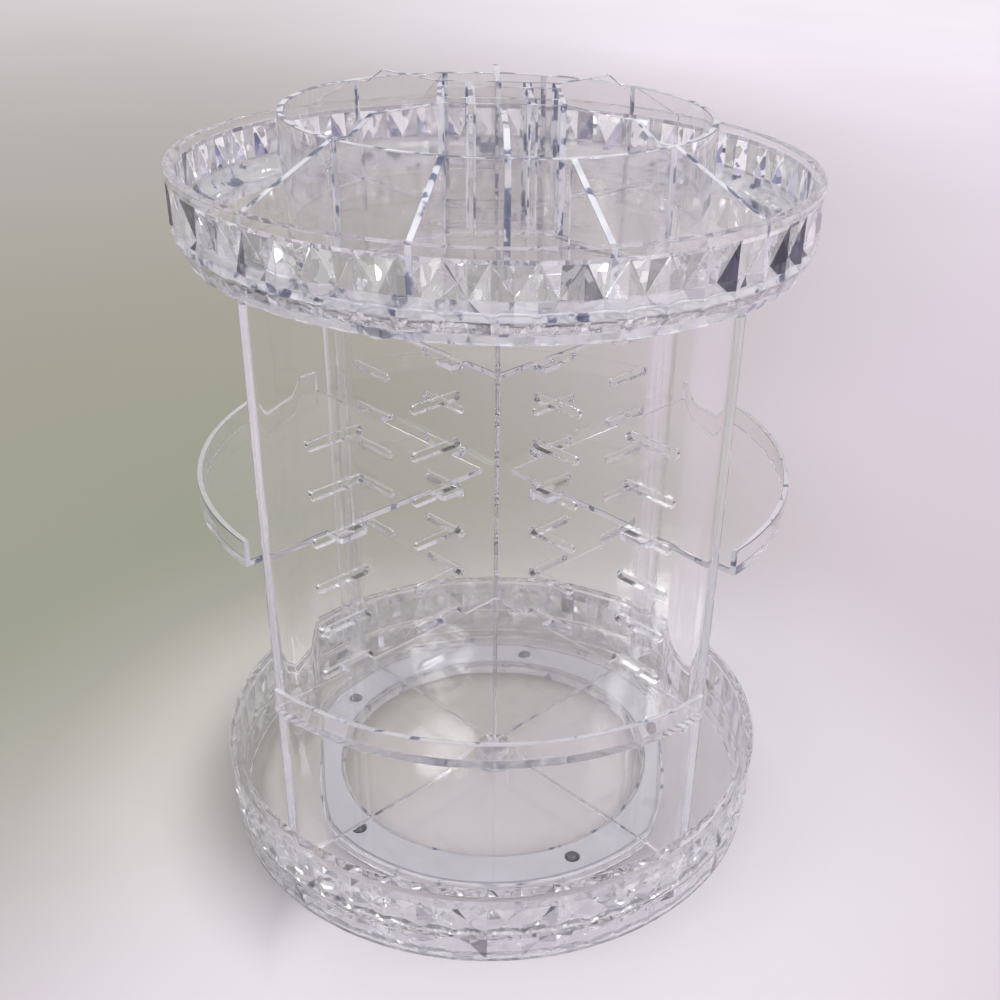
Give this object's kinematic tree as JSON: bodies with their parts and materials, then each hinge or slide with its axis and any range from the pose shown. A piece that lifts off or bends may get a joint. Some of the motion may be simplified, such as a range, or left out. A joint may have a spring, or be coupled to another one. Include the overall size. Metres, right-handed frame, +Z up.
{
  "type": "rotating makeup organizer",
  "caption": "Clear plastic organizer that turns on a ball race: faceted trays, slotted upright panels with hung quarter shelves, and a top insert of compartments and brush cells",
  "frame": {"origin": "centre of the base's underside, on the turning axis", "axes": "+Z up along the turning axis, -Y toward the low front shelf, +X to the right of it"},
  "size_m": [0.2346, 0.2346, 0.3027],
  "materials": {
    "clear_plastic": "clear moulded plastic, polished",
    "frosted_plastic": "frosted grey plastic",
    "ball_steel": "polished bearing steel",
    "screw_steel": "zinc-plated steel"
  },
  "bodies": {
    "base": {"base_disc": "clear_plastic"},
    "cage": {"ball_cage": "frosted_plastic", "steel_ball_1": "ball_steel", "steel_ball_2": "ball_steel", "steel_ball_3": "ball_steel", "steel_ball_4": "ball_steel", "steel_ball_5": "ball_steel"},
    "turntable": {"base_tray": "clear_plastic", "panel_front_left": "clear_plastic", "panel_front_right": "clear_plastic", "panel_back_left": "clear_plastic", "panel_back_right": "clear_plastic", "pivot_screw": "screw_steel", "pivot_washer": "screw_steel"},
    "front_shelf": {"shelf_front": "clear_plastic"},
    "left_shelf": {"shelf_left": "clear_plastic"},
    "right_shelf": {"shelf_right": "clear_plastic"},
    "back_shelf": {"shelf_back": "clear_plastic"},
    "top": {"top_tray": "clear_plastic"},
    "insert": {"divider_ring": "clear_plastic", "brush_holder": "clear_plastic", "inner_divider_1": "clear_plastic", "inner_divider_2": "clear_plastic", "inner_divider_3": "clear_plastic", "inner_divider_4": "clear_plastic", "inner_divider_5": "clear_plastic", "inner_divider_6": "clear_plastic", "outer_divider_1": "clear_plastic", "outer_divider_2": "clear_plastic", "outer_divider_3": "clear_plastic", "outer_divider_4": "clear_plastic", "outer_divider_5": "clear_plastic", "outer_divider_6": "clear_plastic", "outer_divider_7": "clear_plastic", "outer_divider_8": "clear_plastic"}
  },
  "joints": [
    {"name": "turntable_spin", "type": "hinge", "parent": "base", "child": "turntable", "pos_m": [0, 0, 0.0162], "axis": [0, 0, 1], "continuous": true},
    {"name": "cage_spin", "type": "hinge", "parent": "base", "child": "cage", "pos_m": [0, 0, 0.0092], "axis": [0, 0, 1], "continuous": true},
    {"name": "front_shelf_pull", "type": "slide", "parent": "turntable", "child": "front_shelf", "axis": [0, -1, 0], "range_m": [0, 0.06]},
    {"name": "right_shelf_pull", "type": "slide", "parent": "turntable", "child": "right_shelf", "axis": [1, 0, 0], "range_m": [0, 0.06]},
    {"name": "back_shelf_pull", "type": "slide", "parent": "turntable", "child": "back_shelf", "axis": [0, 1, 0], "range_m": [0, 0.06]},
    {"name": "left_shelf_pull", "type": "slide", "parent": "turntable", "child": "left_shelf", "axis": [-1, 0, 0], "range_m": [0, 0.06]},
    {"name": "top_tray_lift", "type": "slide", "parent": "turntable", "child": "top", "axis": [0, 0, 1], "range_m": [0, 0.06]},
    {"name": "insert_lift", "type": "slide", "parent": "top", "child": "insert", "axis": [0, 0, 1], "range_m": [0, 0.06]}
  ],
  "couplings": [
    {"joint": "cage_spin", "follows": "turntable_spin", "ratio": 0.5}
  ]
}
